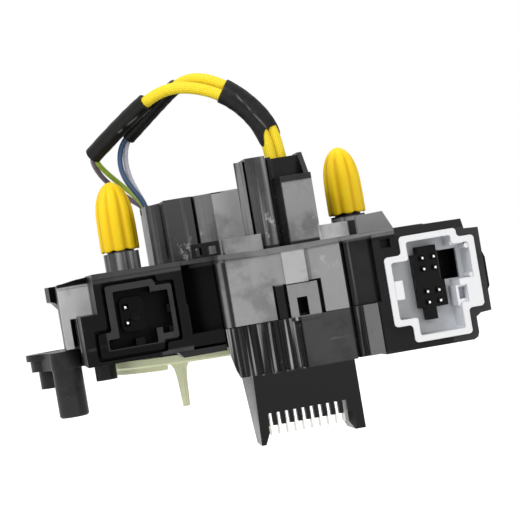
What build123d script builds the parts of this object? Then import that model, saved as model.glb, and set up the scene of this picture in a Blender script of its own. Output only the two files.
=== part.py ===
from build123d import *
import math
import os

# Steering clock spring: a fixed two-piece case with three electrical connectors, and a
# rotor with a hub, two capped drive pins and a looped lead, joined inside by a spiral
# flat cable. Millimetres. The origin is on the steering axis at the underside of the
# drum wall, +Z points to the steering wheel and -Y to the side with the connectors.

# Drum and rotor, the driving dimensions
BORE_R = 18.4
HUB_R = 21.0
HUB_TOP = 36.2
HUB_FOOT = -3.3
DRUM_R = 47.5
DRUM_WALL = 2.0
DRUM_IN_R = DRUM_R - DRUM_WALL
CASE_TOP = 20.2
PLATE_UNDER = 19.0
FRAME_TOP = 19.9
LEDGE_Z = 18.5
LEDGE_UNDER = 17.6
DISC_R = 38.2
DISC_UNDER = 18.6
RUN_GAP = 0.4
FLOOR_UNDER = -0.6
FLOOR_TOP = 1.4

# Fronts of the connector side
FRAME_Y = -50.0
FACE_Y = -52.0
SEAM_Z = 3.6

# Left socket frame, with its L-shaped insert
LEFT_FRAME = [
    (-45.2, 0), (-20.6, 0), (-20.6, FRAME_TOP), (-41.2, FRAME_TOP), (-41.2, 11.8), (-45.2, 11.8),
]
LEFT_SHELL = [
    (-41.9, 1.6), (-27.2, 1.6), (-27.2, 3.6), (-23.5, 3.6), (-23.5, 16.2),
    (-27.4, 16.2), (-27.4, 17.8), (-38.7, 17.8), (-38.7, 7.2), (-41.9, 7.2),
]
LEFT_MOUTH = [
    (-39.7, 3.2), (-28.4, 3.2), (-28.4, 5.0), (-24.5, 5.0), (-24.5, 14.9),
    (-28.4, 14.9), (-28.4, 16.3), (-37.1, 16.3), (-37.1, 5.6), (-39.7, 5.6),
]
LEFT_POCKET_Y = -41.8
WELL_X = -34.4
WELL_Z = (12.3, 8.6)
INSERT_PROUD = 0.5

# Right socket frame, with its cross-shaped insert
RIGHT_FRAME = [
    (23.7, -8.8), (45.0, -8.9), (46.0, -8.4), (46.4, -7.4), (46.4, -3.7), (47.6, -2.9),
    (50.2, -2.7), (50.2, 17.1), (46.8, 17.3), (46.4, 19.7), (30.2, 20.0), (24.6, 20.0),
    (24.6, SEAM_Z), (23.7, SEAM_Z),
]
RIGHT_SHELL = [
    (30.9, -7.3), (44.8, -7.3), (44.8, -1.3), (48.7, -1.3), (48.7, 15.6), (44.7, 15.6),
    (44.7, 17.8), (30.9, 17.8), (30.9, 13.5), (26.65, 13.5), (26.65, -3), (30.9, -3),
]
RIGHT_POCKET_Y = -39.6
RIGHT_BACK_Y = -30.0
SHELL_WALL = 1.5
SHELL_CORNER = 0.9

# The plate's front edge, which is thickest in the middle and highest on the left
PLATE_EDGE = [
    (-41.2, 19.7), (-20.0, 19.7), (-12.8, 19.5), (-2.0, 18.8), (9.0, 18.8), (16.5, 19.1),
    (30.1, 19.4), (30.1, 20.1), (16.5, 20.1), (0.0, 20.2), (-12.8, 20.6), (-41.2, 21.0),
]

# Comb connector under the front block
COMB_PINS = 10
COMB_PITCH = 1.95
COMB_MID_X = 2.75
COMB_PIN = 0.5
COMB_PIN_Y = -48.2
COMB_FLOOR_Z = -8.2
COMB_LEG_Z = -24.4
COMB_EDGE_Z = -20.2
COMB_BACK_Y = -41.0
COMB_LEFT = [(-11.1, -8.2), (-11.8, -6.5), (-12.7, -2.1), (-12.8, SEAM_Z - 0.1)]
REEDS = [
    (-11.5, 0.45), (-10.1, 0.4), (-8.4, 0.5), (-6.75, 0.7), (-5.5, 0.4), (-3.7, 0.55),
    (-2.6, 0.35), (-1.25, 0.8), (0.3, 0.4), (1.6, 0.35), (3.2, 0.5), (4.3, 0.4),
]

# Drive pins and their caps
PIN_CIRCLE_R = 30.8
PIN_TURN = 9.0
PIN_R = 3.4
PIN_BASE_R = 4.5
PIN_TOP = 40.2
CAP_R = 4.7
CAP_FOOT = 25.6
CAP_NOSE = [(4.7, 38.2), (4.45, 39.6), (4.0, 40.8), (2.6, 42.2), (0.9, 43.1), (0, 43.4)]
CAP_TIP = 43.4
FLUTES = 8
FLUTE_TURN = -27.5

# Mounting ears
EAR_X = 51.5
EAR_R = 6.7
EAR_TOP = 3.8
EAR_FLANGE_Z = 2.2
EAR_BODY_R = 5.8
EAR_HOLE_R = 2.3
SPIGOT_R = 4.1
DOWEL = (-48.95, -14.4, 3.65)
SPIGOT_Z = -5.2

# Angle sensor train
MODULE = 0.8
DRIVE_TEETH = 60
LARGE_TEETH = 20
SMALL_TEETH = 18
PRESSURE = math.radians(20)
BACKLASH = 0.16
LARGE_AT = -114.0
SMALL_AT = -72.0
GEAR_Z = (3.6, 6.0)
DIVIDER_Z = (6.4, 7.4)

# Flat cable
CABLE_Z = (7.9, 17.1)
CABLE_IN_R = 23.8
CABLE_PITCH = 3.9
CABLE_TURNS = 5
CABLE_T = 0.4

# Looped lead
LEAD_D = 2.9
TAPE_T = 0.4
FRONT_TAPE = (14.5, 29.3)
REAR_TAPE = (15.0, 31.8)
FRONT_SLEEVE = (4.5, 20.5)
REAR_SLEEVE = (3.9, 19.5)
WIRE_D = 1.35


def span(x0, x1, y0, y1, z0, z1):
    """A box between two corners."""
    return Pos((x0 + x1) / 2, (y0 + y1) / 2, (z0 + z1) / 2) * Box(x1 - x0, y1 - y0, z1 - z0)


def grown(points, width):
    """Corner points of a counter-clockwise outline, moved outward by a width."""
    moved = []
    for a, b, c in zip(points[-1:] + points[:-1], points, points[1:] + points[:1]):
        back, on = math.dist(a, b), math.dist(b, c)
        nx, nz = (b[1] - a[1]) / back, (a[0] - b[0]) / back
        mx, mz = (c[1] - b[1]) / on, (b[0] - c[0]) / on
        share = width / (1 + nx * mx + nz * mz)
        moved.append((b[0] + (nx + mx) * share, b[1] + (nz + mz) * share))
    return moved


def outline(points, corner=0.0, grow=0.0):
    """A closed face from corner points, grown by a width and with its corners rounded."""
    face = make_face(Polyline(*grown(points, grow), close=True))
    if corner:
        face = fillet(face.vertices(), corner)
    return face


def prism(points, y0, y1, corner=0.0, grow=0.0):
    """An outline given in X and Z, run along Y from y0 to y1."""
    plane = Plane(origin=(0, y1, 0), x_dir=(1, 0, 0), z_dir=(0, -1, 0))
    return extrude(plane * outline(points, corner, grow), amount=y1 - y0)


def between(front, y0, back, y1):
    """A body between two outlines in X and Z, the first at y0 and the other at y1."""
    ends = []
    for points, y in ((front, y0), (back, y1)):
        ends.append(Plane(origin=(0, y, 0), x_dir=(1, 0, 0), z_dir=(0, -1, 0)) * outline(points))
    return loft(ends, ruled=True)


def slab(points, z0, z1, corner=0.0):
    """An outline given in X and Y, run up from z0 to z1."""
    return extrude(Plane.XY.offset(z0) * outline(points, corner), amount=z1 - z0)


def post(x, y, r, z0, z1):
    """An upright cylinder."""
    return Pos(x, y, (z0 + z1) / 2) * Cylinder(r, z1 - z0)


def ring(r_out, r_in, z0, z1):
    """A flat ring or tube on the steering axis."""
    return post(0, 0, r_out, z0, z1) - post(0, 0, r_in, z0 - 1, z1 + 1)


def band(r_in, r_out, a0, a1, z0, z1):
    """A stretch of ring from angle a0 to a1, in degrees."""
    cut = Plane.XZ * Pos((r_in + r_out) / 2, (z0 + z1) / 2) * Rectangle(r_out - r_in, z1 - z0)
    return Rot(0, 0, a0) * revolve(cut, Axis.Z, a1 - a0)


def on_circle(r, degrees):
    """The X and Y of a point on a circle about the axis."""
    return r * math.cos(math.radians(degrees)), r * math.sin(math.radians(degrees))


def one_solid(shape):
    """The shape's largest solid, without the crumbs that a cut can leave."""
    return max(shape.solids(), key=lambda s: s.volume)


# Upper case: drum wall, top plate and the two socket frames, one moulding


def left_frame():
    """The L-shaped frame of the left socket, with a loose mouth and a tight seat for its insert."""
    frame = prism(LEFT_FRAME, FRAME_Y, -14)
    mouth = prism(LEFT_SHELL, FRAME_Y - 1, -45, corner=0.7, grow=0.8)
    seat = prism(LEFT_SHELL, -46, LEFT_POCKET_Y, corner=0.6)
    return frame - mouth - seat


def right_frame():
    """The deep frame of the right socket, its side latch and the hole that its cable leaves by."""
    frame = prism(RIGHT_FRAME, FRAME_Y, RIGHT_BACK_Y)
    frame += span(24.6, 46.4, -32, -14, 2, 19.7)
    frame += span(46.4, 50.2, -36, -22, 4, 12)
    frame += prism([(50.1, 2.0), (50.9, 2.0), (51.5, 3.0), (51.5, 9.8), (51.0, 11.2), (50.1, 11.2)], -47, -40)
    frame -= prism(RIGHT_SHELL, FRAME_Y - 1, RIGHT_POCKET_Y, corner=SHELL_CORNER)
    frame -= span(41.4, 46.3, RIGHT_POCKET_Y - 1, -32, 5.9, 13.2)
    frame -= post(0, 0, DRUM_R + 0.2, -10, 0)
    frame -= span(26.4, 28.9, FRAME_Y - 1, -47.8, 15.8, 17.9)
    return frame


def centre_block():
    """The face between the sockets: latch pocket with its strip, guide pad and the stepped panel."""
    block = span(-12.8, 16.5, FACE_Y, -40, SEAM_Z, FRAME_TOP)
    block = fillet(block.edges().filter_by(Axis.Z).sort_by(Axis.Y)[0:2].sort_by(Axis.X)[0], 1.4)
    block -= span(-10.95, -10.45, FACE_Y - 1, FACE_Y + 0.4, SEAM_Z - 1, FRAME_TOP + 1)
    block -= span(-0.55, 10.9, FACE_Y - 1, -49.6, SEAM_Z - 1, 11.5)
    block -= span(4.4, 7.3, FACE_Y, -45, SEAM_Z + 0.5, 8.3)
    block += span(0.05, 2.0, FACE_Y + 0.4, -49, SEAM_Z, 11.5)
    block += span(2.6, 8.0, FACE_Y - 0.4, FACE_Y + 1, 11.3, FRAME_TOP)
    block += span(16.5, 25.0, -45.8, -38, SEAM_Z, FRAME_TOP)
    block += span(18.2, 25.0, -47.6, -45.8, SEAM_Z, FRAME_TOP)
    return block


def top_plate():
    """The thin plate that closes the case from above and overhangs its fronts a little."""
    lip = 0.4
    edge = prism(PLATE_EDGE, FACE_Y - lip, -20)
    edge -= span(-42, -20.6, FACE_Y - 1, FRAME_Y - lip, 18, 22)
    edge -= span(-20.6, -12.8, FACE_Y - 1, FRAME_Y, 18, 22)
    edge -= span(16.5, 31, FACE_Y - 1, FRAME_Y - lip, 18, 22)
    plate = post(0, 0, DRUM_R, PLATE_UNDER, CASE_TOP) + edge
    plate += prism([(-48.6, 18.9), (-41.2, 18.9), (-41.2, 20.8), (-44.0, 20.6), (-48.6, 19.9)], -27.3, -10)
    plate -= span(-44.2, -41.4, -28, -25.2, 19.3, 20.1)
    plate += prism([(24.5, 19.0), (33.2, 19.0), (33.2, 20.1), (31.1, 24.7), (24.5, 24.5)], -36, -34)
    slot = Rot(0, 0, -147) * span(DRUM_R - 3, DRUM_R + 1, -1.8, 1.8, PLATE_UNDER + 0.2, CASE_TOP + 1)
    return plate - slot


def side_lug():
    """The hooked lug that stands out of the drum on the left."""
    lug = prism([(45, 19.9), (51.3, 19.9), (51.3, 16.2), (50.2, 15.8), (48.2, 13.3), (45, 13.3)], -2.4, 2.4)
    return Rot(0, 0, 190) * lug


def upper_case():
    """The whole upper moulding. Its inside is cleared for the cable, and its mouth for the rotor."""
    body = ring(DRUM_R, DRUM_IN_R, 0, PLATE_UNDER) + left_frame() + right_frame() + centre_block()
    body += span(-22.6, -12.95, FRAME_Y, -42, 0.7, SEAM_Z)
    body += span(-21.0, -20.3, -49.6, -42, 3.7, 10.5)
    body += span(-48.6, -41, -27, -10, 11.4, FRAME_TOP)
    body += span(-48.6, -46.7, -27, -10, EAR_TOP + 0.5, 12)
    body += side_lug() + top_plate()
    for at in (25, 75, 125, 165):
        body += Rot(0, 0, at) * span(DRUM_R - 1, DRUM_R + 0.55, -1.6, 1.6, 4.2, 6.0)
    body -= post(0, 0, DRUM_IN_R, -1, LEDGE_UNDER)
    body -= post(0, 0, DISC_R + RUN_GAP, LEDGE_Z, CASE_TOP + 5)
    body -= post(0, 0, 37, LEDGE_UNDER - 1, LEDGE_Z + 1)
    body -= span(-12.9, 23.6, FACE_Y - 1, -47.9, -1, SEAM_Z)
    return one_solid(body)


# Bottom cover: floor, mounting ears, locating post and snap straps


def ear(side):
    """A screw ear beside the drum, with its flange, body, spigot and through hole. side is -1 for left."""
    x = side * EAR_X
    inner = side * 46
    pad = post(x, 0, EAR_R, EAR_FLANGE_Z, EAR_TOP)
    pad += span(min(x, inner), max(x, inner), -EAR_R, EAR_R, EAR_FLANGE_Z, EAR_TOP)
    pad += post(x, 0, EAR_BODY_R, FLOOR_UNDER, EAR_TOP)
    pad += span(min(x, inner), max(x, inner), -EAR_BODY_R, EAR_BODY_R, FLOOR_UNDER, EAR_TOP)
    pad += post(x, 0, SPIGOT_R, SPIGOT_Z, FLOOR_UNDER + 1)
    return pad, post(x, 0, EAR_HOLE_R, SPIGOT_Z - 1, EAR_TOP + 1)


def locating_post():
    """The long dowel beside the left ear, with the web that carries it and its cored end."""
    x, y, r = DOWEL
    dowel = post(x, y, r, -12.5, EAR_TOP)
    dowel = chamfer(dowel.edges().sort_by(Axis.Z)[0], 0.4)
    dowel += post(x, y, r + 0.2, FLOOR_UNDER, EAR_TOP)
    web = slab([(-55, -4), (-51.5, -14.4), (-46.6, -14.4), (-46.6, -4)], FLOOR_UNDER, EAR_TOP)
    return dowel + web - post(x, y, 1.7, -13.5, -6)


def bottom_cover():
    """The whole lower moulding: it plugs into the drum and carries the case on two screws."""
    outside = post(0, 0, DRUM_R + 0.2, 0, EAR_TOP + 1)
    cover = post(0, 0, DRUM_R, FLOOR_UNDER, 0)
    for side in (-1, 1):
        pad, hole = ear(side)
        cover += pad - outside
        cover -= hole
    cover += locating_post() - outside
    cover += post(0, 0, DRUM_IN_R - 0.1, 0, FLOOR_TOP) + post(0, 0, 22.8, 0, FLOOR_TOP + 1.2)
    cover += post(-39.9, -19.8, 2.6, -4.7, FLOOR_UNDER)
    cover += prism([(-24.3, 0.0), (-23.2, -1.4), (-13.0, -1.4), (-13.0, 0.0)], FRAME_Y + 0.2, -42)
    for at in (25, 75, 125, 165):
        strap = span(DRUM_R + 0.2, DRUM_R + 1.3, -2.6, 2.6, FLOOR_UNDER, 8.0)
        strap += span(DRUM_R - 2, DRUM_R + 1.3, -2.6, 2.6, FLOOR_UNDER, 0)
        strap -= span(DRUM_R, DRUM_R + 2, -1.7, 1.7, 4.0, 6.4)
        cover += Rot(0, 0, at) * strap
    return one_solid(cover - post(0, 0, HUB_R + 0.5, -6, 8))


# Comb housing: reeded block, latch tongue and the shroud round ten terminals


def comb_x(index):
    """The X of a terminal, counted from the left."""
    return COMB_MID_X + (index - (COMB_PINS - 1) / 2) * COMB_PITCH


def comb_leg(low, high):
    """An upright leg that tapers from its lower outline to the upper one, both in X and Y."""
    ends = [Plane.XY.offset(COMB_LEG_Z) * outline(low), Plane.XY.offset(COMB_FLOOR_Z) * outline(high)]
    return loft(ends, ruled=True)


def comb_shroud():
    """The legs and walls under the block, with a notched front edge that the terminals run in."""
    back = COMB_BACK_Y
    legs = comb_leg([(-9.1, FACE_Y), (-6.8, FACE_Y), (-6.8, back), (-8.7, back)],
                    [(-8.5, FACE_Y), (-6.8, FACE_Y), (-6.8, back), (-9.8, back)])
    right = [(13.4, FACE_Y), (15.6, FACE_Y), (15.6, back), (12.3, back), (12.3, -49.5)]
    legs += slab(right, COMB_LEG_Z, COMB_FLOOR_Z)
    for x0, x1, rise in ((-6.8, -8.0, 2.6), (12.3, 13.2, 1.8)):
        low = COMB_LEG_Z
        lead_in = [(x0, low - 1), (x1, low - 1), (x1, low), (x0, low + rise)]
        legs -= prism(lead_in, FACE_Y - 1, back + 1)
    walls = span(-8, 13.6, FACE_Y, -50.2, COMB_EDGE_Z, COMB_FLOOR_Z)
    walls += span(-8, 13.6, back - 1.8, back, -14.6, COMB_FLOOR_Z)
    for i in range(COMB_PINS):
        x = comb_x(i)
        walls -= span(x - 0.45, x + 0.45, FACE_Y - 1, -50, COMB_EDGE_Z - 1, -17.3)
    return legs + walls


def comb_housing():
    """The front block below the seam. Reeds fill its left half, a plain panel its right."""
    top = SEAM_Z - 0.1
    right_side = [(23.5, top), (23.5, -8.4)]
    shifted = [(x + 1.7, z) for x, z in COMB_LEFT]
    block = between(right_side[::-1] + COMB_LEFT[::-1], -50, right_side[::-1] + shifted[::-1], COMB_BACK_Y)
    reeded = span(-12.9, 4.75, -51.4, -49.9, -8.2, top)
    for x, r in REEDS:
        reeded += post(x, -51.3, r, -8.1, top - 0.1)
    block += reeded & prism([(4.75, -8.2), (4.75, top)] + COMB_LEFT[::-1], -53, -49.9)
    block += span(4.75, 16.5, FACE_Y, -50, -8.4, top)
    block -= span(16.5, 17.4, -51, -48.6, -9, SEAM_Z)
    for x in (17.9, 19.1):
        block += post(x, -49.9, 0.45, -8.3, top - 0.1)
    block += span(20.0, 23.5, -50.4, -49, -8.4, top)
    block -= post(0, 0, DRUM_R + 0.1, FLOOR_UNDER - 0.1, 5)
    block -= span(-9, 14, -49.4, COMB_BACK_Y - 1.8, -9, -7)
    tongue = span(2.7, 9.9, FACE_Y - 0.2, -50.5, SEAM_Z - 1, 11.1)
    block += tongue - span(4.6, 7.05, FACE_Y - 1, -50, SEAM_Z, 7.9)
    block += comb_shroud()
    for pin in comb_terminals():
        block -= pin
    return one_solid(block)


def comb_terminals():
    """Ten square pins that stand in the notched edge, each with a chisel tip."""
    pins = []
    for i in range(COMB_PINS):
        x = comb_x(i)
        pin = Pos(x, COMB_PIN_Y, -13.6) * Box(COMB_PIN, COMB_PIN, 18)
        pins.append(chamfer(pin.faces().sort_by(Axis.Z)[0].edges(), 0.15))
    return pins


# Left socket: L-shaped insert with a keyed mouth


def switch_plug_shell():
    """The black insert: keyed mouth, core block with a peg, and a floor at its back."""
    front = FRAME_Y - INSERT_PROUD
    back = LEFT_POCKET_Y
    shell = prism(LEFT_SHELL, front, back, corner=0.6)
    shell -= prism(LEFT_MOUTH, FRAME_Y - 2, back - 1.4, corner=0.4)
    shell += span(-28.5, -27.1, front, back - 1, 14.9, 17.0)
    shell += span(-25.2, -24.3, -49.6, back - 1, 9.7, 11.5)
    shell += span(-25.4, -24.3, -49.6, back - 1, 4.9, 6.3)
    shell += span(-28.4, -27.0, front, back - 1, 3.1, 6.5)
    shell += span(-33.5, -31.4, -49.8, back - 1, 3.1, 4.9)
    core = Pos(-33.0, -44.1, 10.5) * Box(5.6, 2.6, 8.0)
    shell += fillet(core.edges().filter_by(Axis.Y), 1.4)
    for z in WELL_Z:
        shell -= span(WELL_X - 0.75, WELL_X + 0.75, -47, -43.9, z - 0.8, z + 0.8)
    shell += Pos(-32.3, -45.2, 10.0) * Rot(90, 0, 0) * Cylinder(1.2, 1.6)
    return one_solid(shell)


def plug_pin(x, z, y0, y1, width):
    """One square pin along Y, with its front end chamfered."""
    pin = span(x - width / 2, x + width / 2, y0, y1, z - width / 2, z + width / 2)
    return chamfer(pin.faces().sort_by(Axis.Y)[0].edges(), width * 0.25)


def switch_plug_pins():
    """Two pins in the core's wells."""
    return [plug_pin(WELL_X, z, -46.0, -43.9, 0.9) for z in WELL_Z]


# Right socket: white insert, black pin header and eight pins


def sensor_plug_shell():
    """The white cross-shaped insert with its keys, rails and the window in its floor."""
    floor_y = RIGHT_POCKET_Y - 1.6
    shell = prism(RIGHT_SHELL, FRAME_Y - INSERT_PROUD, RIGHT_POCKET_Y, corner=SHELL_CORNER)
    shell -= prism(RIGHT_SHELL, FRAME_Y - 2, floor_y, corner=0.6, grow=-SHELL_WALL)
    front = FRAME_Y - INSERT_PROUD
    shell += span(27.6, 30.2, FRAME_Y - 0.4, -45.5, 3.2, 7.7)
    shell += span(43.6, 47.3, front, floor_y + 1, 4.2, 5.8)
    shell += span(45.2, 47.3, front, floor_y + 1, -0.3, 4.3)
    shell += span(42.9, 45.3, -48.6, floor_y + 1, -0.6, 4.3)
    shell += span(43.1, 46.3, -49.2, floor_y + 1, 13.9, 15.0)
    shell -= span(43.5, 45.2, -51, -45.5, 1.0, 3.8)
    for x, z, r in ((46.8, 13.3, 0.65), (46.9, 6.3, 0.6)):
        shell += Pos(x, -47, z) * Rot(90, 0, 0) * Cylinder(r, 6)
    shell -= span(41.6, 46.1, floor_y - 1, RIGHT_POCKET_Y + 1, 6.0, 13.1)
    return one_solid(shell)


HEADER_X = (36.75, 39.5)
HEADER_Z = (1.4, 3.95, 9.35, 11.95)
HEADER = [
    (34.6, 0.2), (35.9, 0.2), (35.9, -2.75), (38.5, -2.75), (38.5, 0.1), (41.5, 0.1),
    (41.5, 6.2), (40.6, 6.2), (40.6, 14.7), (35.9, 14.7), (35.9, 13.0), (34.6, 13.0),
]


def sensor_plug_pins():
    """Eight square pins in two groups of four."""
    return [plug_pin(x, z, -46.2, RIGHT_POCKET_Y - 1.6, 0.7) for x in HEADER_X for z in HEADER_Z]


def sensor_plug_header():
    """The stepped black block on the socket's floor, with a chamfered well at each pin."""
    front, back = -44.6, RIGHT_POCKET_Y - 1.6
    block = prism(HEADER, front, back)
    for x in HEADER_X:
        for z in HEADER_Z:
            block -= span(x - 0.65, x + 0.65, front - 1, front + 0.7, z - 0.65, z + 0.65)
    for pin in sensor_plug_pins():
        block -= pin
    return one_solid(block)


# Rotor: hub tube, disc, lead tower and drive pins, one moulding


def flutes(r, at_r, z0, z1):
    """Upright round cutters spaced round a pin."""
    return [post(*on_circle(at_r, FLUTE_TURN + 360 * i / FLUTES), r, z0, z1) for i in range(FLUTES)]


def drive_pin():
    """A fluted base collar and the plain pin above it, about its own axis."""
    pin = post(0, 0, PIN_BASE_R, DISC_UNDER + 1, CAP_FOOT) + post(0, 0, PIN_R, CAP_FOOT, PIN_TOP)
    for cutter in flutes(0.7, PIN_BASE_R + 0.3, CASE_TOP, CAP_FOOT):
        pin -= cutter
    return chamfer(pin.edges().sort_by(Axis.Z)[-1], 0.8)


def pin_place(side):
    """The location of a drive pin, 1 for the right one and -1 for the left."""
    x, y = on_circle(PIN_CIRCLE_R, PIN_TURN)
    return Pos(side * x, side * y, 0)


def lead_tower():
    """The ribbed tower: a column, a lidded front box with a pocket, and two bores for the leads."""
    foot, back = DISC_UNDER + 1, -20.5
    tower = slab([(-2.4, -34.2), (-0.3, -34.2), (0.6, -31), (0.6, back), (-0.2, back)], foot, 41.8)
    tower += span(0.3, 5.2, -34.9, back, foot, 42.4) + span(-0.3, 7.0, -32, back, foot, 42.0)
    tower += post(1.9, -34.8, 0.45, foot, 42.4) + post(6.2, -32.0, 0.5, foot, 41.6)
    tower += slab([(6.2, -32.5), (8.1, -35), (15.65, -35), (15.65, -15), (6.2, -15)], foot, 36.0)
    tower += slab([(6.4, -32.9), (8.0, -35.4), (15.6, -35.4), (15.6, back), (6.4, back)], 35.5, 36.8)
    tower += span(5.0, 14.4, -27.6, back, 30, 41.8)
    side_wall = [(-33.2, 30), (back, 30), (back, 42.3), (-27.6, 42.3), (-33.2, 36.9)]
    tower += extrude(Plane.YZ.offset(14.3) * outline(side_wall), amount=1.2)
    tower -= span(8.2, 14.3, -33.6, -27.6, 31, 45)
    for x, y, z in (FRONT_LEAD[0], REAR_LEAD[0]):
        tower -= post(x, y, LEAD_D / 2 + 0.06, z, z + 20)
    return tower


def wire_box():
    """The box on the hub's left, where the thin wires go in through its open top."""
    foot = DISC_UNDER + 1
    box = span(-23.3, -14, -14.5, 3, foot, HUB_TOP - 0.4) + span(-19.3, -12.4, -20.3, -10, foot, HUB_TOP)
    box -= span(-22.75, -21.05, -5.3, 2.4, 31.5, 40)
    box -= span(-24, -22.5, -1.6, 2.4, 34.2, 40)
    box -= span(-19.8, -19.2, -15.5, -13.5, 22, 40)
    return box


def hub_faces():
    """Flat pads down the front of the hub, a step apart."""
    pads = span(-11.6, -7.4, -21.2, -12, DISC_UNDER + 1, HUB_TOP - 0.2)
    return pads + span(-7.4, 0, -21.9, -12, DISC_UNDER + 1, HUB_TOP - 0.4)


def disc_rim():
    """Low walls round the disc's edge, and the two-window clip beside them."""
    foot = DISC_UNDER + 1
    walls = band(35.3, 37.4, -102.5, -88.6, foot, 24.1) + band(35.3, 37.4, -66, -44, foot, 23.8)
    clip = band(35.0, 36.6, -115.5, -103.5, foot, 24.2)
    for at in (-113, -107.5):
        x, y = on_circle(36, at)
        clip -= Pos(x, y, 22.2) * Rot(0, 0, at) * Box(4, 2.0, 1.9)
    return walls + clip


def rotor_hub():
    """The whole rotor moulding."""
    rotor = post(0, 0, HUB_R, HUB_FOOT, HUB_TOP) + post(0, 0, DISC_R, DISC_UNDER, CASE_TOP)
    rotor += lead_tower() + wire_box() + hub_faces() + disc_rim()
    for side in (-1, 1):
        rotor += pin_place(side) * drive_pin()
    for at in (60, 100, 140):
        rotor += band(HUB_R - 1, HUB_R + 1.6, at - 2, at + 2, DISC_UNDER + 1, HUB_TOP - 4)
    return one_solid(rotor - post(0, 0, BORE_R, HUB_FOOT - 5, 60))


def pin_cap():
    """A bullet-shaped fluted rubber cap, about its own axis."""
    profile = Polyline((0, CAP_FOOT), (CAP_R, CAP_FOOT), *CAP_NOSE, close=True)
    cap = revolve(Plane.XZ * make_face(profile), Axis.Z)
    for cutter in flutes(0.8, CAP_R + 0.42, CAP_FOOT - 1, CAP_TIP + 1):
        cap -= cutter
    return one_solid(cap - post(0, 0, PIN_R, CAP_FOOT - 1, PIN_TOP))


def cancel_ring():
    """The pale ring clipped on the hub's foot, with a lower lip and one tapered finger pointing down."""
    disc = ring(39, HUB_R, HUB_FOOT, -1.2)
    rim = disc.edges().filter_by(GeomType.CIRCLE).group_by(Axis.Z)[0].sort_by(SortBy.RADIUS)[-1]
    disc = chamfer(rim, 0.4) + band(36.4, 38.5, 178, 226, -4.5, HUB_FOOT + 0.3)
    finger = [
        (-2.2, -3.2), (-1.3, -4.6), (-0.95, -6.8), (-0.5, -13.7),
        (0.5, -13.7), (0.95, -6.8), (1.3, -4.6), (2.2, -3.2),
    ]
    disc += Rot(0, 0, -37) * prism(finger, -38.4, -36.9)
    for at in range(0, 360, 60):
        disc -= Rot(0, 0, at) * band(26, 33, -14, 14, -4, -2.6)
    return one_solid(disc)


# Angle sensor: ring gear on the hub, two magnet gears, board and chips


def half_tooth(r, teeth):
    """Half the tooth's angle at radius r, from the involute of a 20 degree gear."""
    pitch_r = MODULE * teeth / 2
    base_r = pitch_r * math.cos(PRESSURE)
    at_pitch = math.pi / (2 * teeth) - BACKLASH / (2 * pitch_r)
    angle = math.acos(min(1.0, base_r / max(r, base_r)))
    return at_pitch + (math.tan(PRESSURE) - PRESSURE) - (math.tan(angle) - angle)


def spur_gear(teeth):
    """A gear's face about the origin, with a tooth centred on +X."""
    pitch_r = MODULE * teeth / 2
    levels = [pitch_r - 1.15 * MODULE, pitch_r - 0.1 * MODULE, pitch_r + 0.9 * MODULE]
    points = []
    for i in range(teeth):
        mid = 2 * math.pi * i / teeth
        flank = [(r, half_tooth(r, teeth)) for r in levels]
        for r, half in flank + [(r, -half) for r, half in reversed(flank)]:
            points.append((r * math.cos(mid - half), r * math.sin(mid - half)))
    return make_face(Polyline(*points, close=True))


def magnet_place(teeth, at):
    """The centre of a magnet gear in mesh with the ring gear, and its turn about that centre."""
    distance = MODULE * (DRIVE_TEETH + teeth) / 2
    return Pos(*on_circle(distance, at), 0) * Rot(0, 0, at + 180 + 180 / teeth)


def drive_gear():
    """The ring gear pressed on the hub."""
    teeth = Plane.XY.offset(GEAR_Z[0] - 0.2) * spur_gear(DRIVE_TEETH)
    gear = extrude(teeth, amount=GEAR_Z[1] - GEAR_Z[0] + 0.2)
    return one_solid(gear - post(0, 0, HUB_R, 0, 10))


def magnet_gear(teeth, at):
    """A small gear with a stub that runs in the divider and a seat for its magnet below."""
    gear = extrude(Plane.XY.offset(GEAR_Z[0]) * spur_gear(teeth), amount=GEAR_Z[1] - GEAR_Z[0])
    gear += post(0, 0, 2.0, GEAR_Z[1], DIVIDER_Z[1] - 0.2)
    gear += post(0, 0, 5.6, FLOOR_TOP + 1.1, GEAR_Z[0]) - post(0, 0, 4.4, 0, GEAR_Z[0])
    gear -= post(0, 0, 3.0, GEAR_Z[0] - 1, GEAR_Z[0] + 1.6)
    return magnet_place(teeth, at) * gear


def magnet(teeth, at):
    """The disc magnet in a gear's seat."""
    return magnet_place(teeth, at) * post(0, 0, 3.0, GEAR_Z[0], GEAR_Z[0] + 1.6)


def divider_plate():
    """The plate between the sensor and the cable, with a bearing hole for each magnet gear."""
    plate = ring(DRUM_IN_R, HUB_R + 0.7, *DIVIDER_Z)
    for teeth, at in ((LARGE_TEETH, LARGE_AT), (SMALL_TEETH, SMALL_AT)):
        plate -= magnet_place(teeth, at) * post(0, 0, 2.06, 0, 10)
    return plate


def sensor_board():
    """The circuit board, a segment of ring on the floor at the front."""
    return band(24.5, 44.8, -150, -30, FLOOR_TOP, FLOOR_TOP + 1)


def angle_chips():
    """A square sensor chip under each magnet."""
    chips = []
    for teeth, at in ((LARGE_TEETH, LARGE_AT), (SMALL_TEETH, SMALL_AT)):
        chip = Pos(0, 0, FLOOR_TOP + 1.4) * Box(3.6, 3.6, 0.8)
        chips.append(magnet_place(teeth, at) * Rot(0, 0, 45) * chip)
    return chips


# Flat cable: a spiral of half circles on two centres, and what holds its ends


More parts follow.
